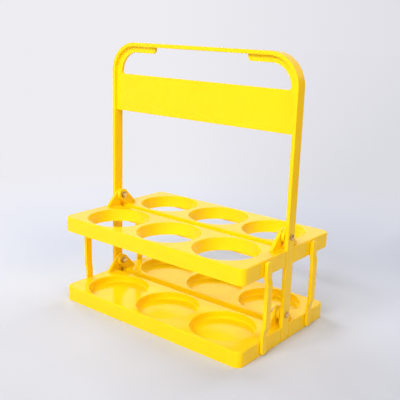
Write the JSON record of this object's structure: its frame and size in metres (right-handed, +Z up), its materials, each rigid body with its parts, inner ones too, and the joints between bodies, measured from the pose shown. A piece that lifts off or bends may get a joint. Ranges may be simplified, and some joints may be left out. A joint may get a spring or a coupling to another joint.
{
  "type": "foldable drink carrier",
  "caption": "Folding carrier with an arched handle frame and two levels of hinged tray halves: round holes above, floored wells below, tied by side links.",
  "frame": {"origin": "on the floor, midway between the ends and between the long sides", "axes": "+X along the long side, from the left leg to the right leg; -Y is the front; +Z up"},
  "size_m": [0.294, 0.1856, 0.332],
  "materials": {
    "handle_plastic": "satin yellow",
    "tray_plastic": "satin yellow",
    "link_plastic": "satin yellow",
    "bolt_steel": "bright zinc",
    "nut_steel": "dull zinc"
  },
  "bodies": {
    "handle": {"handle_frame": "handle_plastic", "lower_left_hinge_bolt": "bolt_steel", "lower_left_hinge_washer": "nut_steel", "lower_left_lock_nut": "nut_steel", "lower_right_hinge_bolt": "bolt_steel", "lower_right_hinge_washer": "nut_steel", "lower_right_lock_nut": "nut_steel", "upper_left_hinge_bolt": "bolt_steel", "upper_left_hinge_washer": "nut_steel", "upper_left_lock_nut": "nut_steel", "upper_right_hinge_bolt": "bolt_steel", "upper_right_hinge_washer": "nut_steel", "upper_right_lock_nut": "nut_steel"},
    "front_lower_half": {"front_lower_tray": "tray_plastic"},
    "front_upper_half": {"front_upper_tray": "tray_plastic"},
    "rear_lower_half": {"rear_lower_tray": "tray_plastic"},
    "rear_upper_half": {"rear_upper_tray": "tray_plastic"},
    "front_left_tie": {"front_left_link": "link_plastic"},
    "front_right_tie": {"front_right_link": "link_plastic"},
    "rear_left_tie": {"rear_left_link": "link_plastic"},
    "rear_right_tie": {"rear_right_link": "link_plastic"}
  },
  "joints": [
    {"name": "front_lower_fold", "type": "hinge", "parent": "handle", "child": "front_lower_half", "pos_m": [0, 0, 0.033], "axis": [-1, 0, 0], "range_deg": [0, 90]},
    {"name": "front_upper_fold", "type": "hinge", "parent": "handle", "child": "front_upper_half", "pos_m": [0, 0, 0.1278], "axis": [-1, 0, 0], "range_deg": [0, 90]},
    {"name": "rear_lower_fold", "type": "hinge", "parent": "handle", "child": "rear_lower_half", "pos_m": [0, 0, 0.033], "axis": [1, 0, 0], "range_deg": [0, 90]},
    {"name": "rear_upper_fold", "type": "hinge", "parent": "handle", "child": "rear_upper_half", "pos_m": [0, 0, 0.1278], "axis": [1, 0, 0], "range_deg": [0, 90]},
    {"name": "front_left_swing", "type": "hinge", "parent": "front_lower_half", "child": "front_left_tie", "pos_m": [-0.1408, -0.0492, 0.0095], "axis": [-1, 0, 0], "range_deg": [-90, 0]},
    {"name": "front_right_swing", "type": "hinge", "parent": "front_lower_half", "child": "front_right_tie", "pos_m": [0.1408, -0.0492, 0.0095], "axis": [-1, 0, 0], "range_deg": [-90, 0]},
    {"name": "rear_left_swing", "type": "hinge", "parent": "rear_lower_half", "child": "rear_left_tie", "pos_m": [-0.1408, 0.0492, 0.0095], "axis": [1, 0, 0], "range_deg": [-90, 0]},
    {"name": "rear_right_swing", "type": "hinge", "parent": "rear_lower_half", "child": "rear_right_tie", "pos_m": [0.1408, 0.0492, 0.0095], "axis": [1, 0, 0], "range_deg": [-90, 0]}
  ],
  "couplings": [
    {"joint": "front_upper_fold", "follows": "front_lower_fold", "ratio": 1},
    {"joint": "rear_upper_fold", "follows": "rear_lower_fold", "ratio": 1},
    {"joint": "front_left_swing", "follows": "front_lower_fold", "ratio": -1},
    {"joint": "front_right_swing", "follows": "front_lower_fold", "ratio": -1},
    {"joint": "rear_left_swing", "follows": "rear_lower_fold", "ratio": -1},
    {"joint": "rear_right_swing", "follows": "rear_lower_fold", "ratio": -1}
  ]
}
